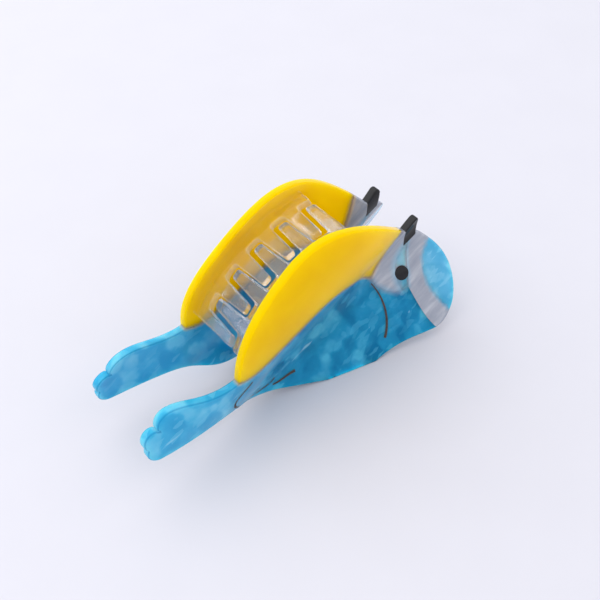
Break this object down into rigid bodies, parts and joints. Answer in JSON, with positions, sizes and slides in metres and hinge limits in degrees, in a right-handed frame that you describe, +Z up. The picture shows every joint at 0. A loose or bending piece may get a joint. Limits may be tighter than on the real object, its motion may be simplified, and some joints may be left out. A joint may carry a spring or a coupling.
{
  "type": "hair claw",
  "caption": "Bird-shaped acetate hair claw: mirrored curved bird plates with clear interleaving combs, joined by a hidden sprung hinge.",
  "frame": {"origin": "middle of the object's box, on the surface that it stands on", "axes": "+Z up, X along the birds from tail (-X) to head (+X), Y across the claw; the middle plane between the birds is Y = 0"},
  "size_m": [0.1182, 0.0514, 0.0602],
  "materials": {
    "blue_acetate": "polished marbled",
    "yellow_acetate": "polished",
    "pearl_acetate": "polished pearl",
    "black_acetate": "polished",
    "clear_acetate": "polished clear",
    "brown_fill": "flush filled engraving",
    "hinge_steel": "nickel plated",
    "spring_steel": "drawn wire"
  },
  "bodies": {
    "right_half": {"right_body": "blue_acetate", "right_belly": "yellow_acetate", "right_cheek": "pearl_acetate", "right_eye_stripe": "blue_acetate", "right_head_band": "pearl_acetate", "right_cap": "blue_acetate", "right_beak": "black_acetate", "right_eye": "black_acetate", "right_wing_line": "brown_fill", "right_feather_lines": "brown_fill", "right_comb": "clear_acetate", "right_hinge_leaf": "hinge_steel", "right_hinge_screws": "hinge_steel", "hinge_pin": "hinge_steel", "torsion_spring": "spring_steel"},
    "left_half": {"left_body": "blue_acetate", "left_belly": "yellow_acetate", "left_cheek": "pearl_acetate", "left_eye_stripe": "blue_acetate", "left_head_band": "pearl_acetate", "left_cap": "blue_acetate", "left_beak": "black_acetate", "left_eye": "black_acetate", "left_wing_line": "brown_fill", "left_feather_lines": "brown_fill", "left_comb": "clear_acetate", "left_hinge_leaf": "hinge_steel", "left_hinge_screws": "hinge_steel"}
  },
  "joints": [
    {"name": "jaw_hinge", "type": "hinge", "parent": "right_half", "child": "left_half", "pos_m": [0.01137, 0, 0.01976], "axis": [-0.8902, 0, -0.4555], "range_deg": [0, 50], "stiffness_Nm_per_rad": 0.08, "springref_deg": -85.94, "deforming": ["torsion_spring"]}
  ]
}
